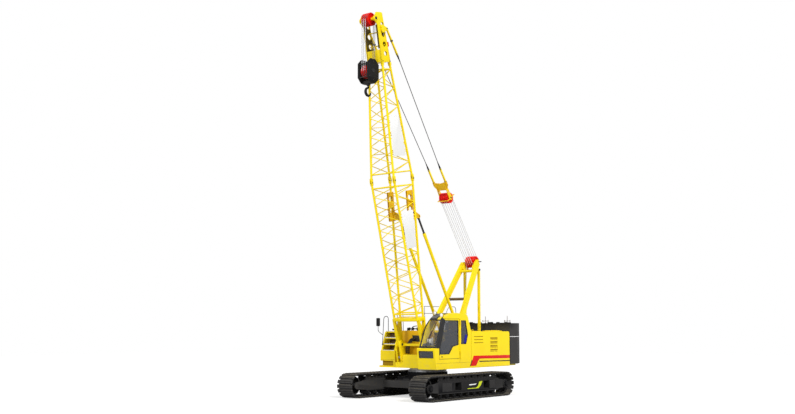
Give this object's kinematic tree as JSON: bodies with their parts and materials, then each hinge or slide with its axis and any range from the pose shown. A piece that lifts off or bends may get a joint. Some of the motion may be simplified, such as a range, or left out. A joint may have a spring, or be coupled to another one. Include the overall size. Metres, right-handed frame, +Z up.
{
  "type": "crawler crane",
  "caption": "Crawler crane with a lattice boom held by pendants, gantry, cab, counterweight and hook block.",
  "frame": {"origin": "on the ground, below the middle of the crane's outline", "axes": "+X forward along the boom, +Y to the left where the cab is, +Z up"},
  "size_m": [8.622, 4.3, 14.8529],
  "materials": {
    "black": "satin black paint",
    "dark_grey": "satin dark grey paint",
    "glass": "tinted glass",
    "red": "gloss red paint",
    "rubber": "black upholstery and plastic",
    "steel": "oiled steel",
    "track": "dark worn steel",
    "white": "satin white paint",
    "yellow": "gloss yellow paint"
  },
  "bodies": {
    "root": {"carbody": "dark_grey", "slew_ring": "steel"},
    "upper": {"cab_seat": "rubber", "cab_shell": "yellow", "counterweight_lower": "dark_grey", "counterweight_middle": "dark_grey", "counterweight_upper": "dark_grey", "engine_block": "dark_grey", "exhaust": "steel", "gantry_back_leg_left": "yellow", "gantry_back_leg_right": "yellow", "gantry_mast": "yellow", "house_left": "yellow", "house_right": "yellow", "mirror_rail": "black", "side_deck_left": "yellow", "side_deck_right": "yellow", "step_tower": "yellow", "upper_frame": "yellow", "winch_auxiliary": "steel", "winch_luffing": "steel", "winch_main": "steel"},
    "boom": {"boom_foot_section": "yellow", "boom_head": "yellow", "boom_top_section": "yellow", "sign_board_lower": "white", "sign_board_upper": "white"},
    "falls": {"head_sheaves": "red", "hoist_rope": "steel"},
    "hook_block": {"block_sheaves": "red", "hook_block": "dark_grey"},
    "hook": {"hook": "dark_grey"},
    "luff_tackle": {"gantry_sheaves": "red"},
    "bridle": {"bridle_sheaves": "red", "bridle_yoke": "yellow", "pendant_left": "steel", "pendant_right": "steel"},
    "backstop_tubes": {"backstop_tube_left": "yellow", "backstop_tube_right": "yellow"},
    "backstop_rods": {"backstop_rod_left": "black", "backstop_rod_right": "black"},
    "cab_door": {"cab_door": "yellow", "door_glass": "glass"},
    "crawler_left": {"idler_left": "dark_grey", "side_frame_left": "dark_grey", "sprocket_left": "dark_grey", "track_left": "track"},
    "crawler_right": {"idler_right": "dark_grey", "side_frame_right": "dark_grey", "sprocket_right": "dark_grey", "track_right": "track"}
  },
  "joints": [
    {"name": "crawler_left_slide", "type": "slide", "parent": "root", "child": "crawler_left", "axis": [0, 1, 0], "range_m": [-0.45, 0]},
    {"name": "crawler_right_slide", "type": "slide", "parent": "root", "child": "crawler_right", "axis": [0, -1, 0], "range_m": [-0.45, 0]},
    {"name": "slew", "type": "hinge", "parent": "root", "child": "upper", "pos_m": [0.28898, 0, 1.14], "axis": [0, 0, 1], "continuous": true},
    {"name": "boom_luff", "type": "hinge", "parent": "upper", "child": "boom", "pos_m": [1.28898, 0, 2.05], "axis": [0, -1, 0], "range_deg": [-49, 1]},
    {"name": "falls_level", "type": "hinge", "parent": "boom", "child": "falls", "pos_m": [3.97102, 0, 14.53768], "axis": [0, -1, 0], "range_deg": [-1, 49]},
    {"name": "hook_travel", "type": "slide", "parent": "falls", "child": "hook_block", "axis": [0, 0, -1], "range_m": [0, 10.9], "deforming": ["hoist_rope"]},
    {"name": "hook_swivel", "type": "hinge", "parent": "hook_block", "child": "hook", "pos_m": [3.97102, 0, 12.00768], "axis": [0, 0, 1], "continuous": true},
    {"name": "luff_tackle_swing", "type": "hinge", "parent": "upper", "child": "luff_tackle", "pos_m": [-2.86102, 0, 5.48], "axis": [0, -1, 0], "range_deg": [-43.03, 0.88]},
    {"name": "bridle_travel", "type": "slide", "parent": "luff_tackle", "child": "bridle", "axis": [0.5817, 0, 0.8134], "range_m": [-0.08708, 4.26441]},
    {"name": "backstop_swing", "type": "hinge", "parent": "upper", "child": "backstop_tubes", "pos_m": [-1.41102, 0, 2.25], "axis": [0, -1, 0], "range_deg": [-34.94, 0.71]},
    {"name": "backstop_stroke", "type": "slide", "parent": "backstop_tubes", "child": "backstop_rods", "axis": [0.518, 0, 0.8554], "range_m": [-0.03302, 1.61562]},
    {"name": "cab_door_swing", "type": "hinge", "parent": "upper", "child": "cab_door", "pos_m": [0.38898, 1.704, 1.52], "axis": [0, 0, 1], "range_deg": [0, 150]}
  ],
  "couplings": [
    {"joint": "falls_level", "follows": "boom_luff", "ratio": -1},
    {"joint": "luff_tackle_swing", "follows": "boom_luff", "ratio": 0.8781},
    {"joint": "bridle_travel", "follows": "boom_luff", "m_per_rad": -4.9863},
    {"joint": "backstop_swing", "follows": "boom_luff", "ratio": 0.71305},
    {"joint": "backstop_stroke", "follows": "boom_luff", "m_per_rad": -1.8891}
  ]
}
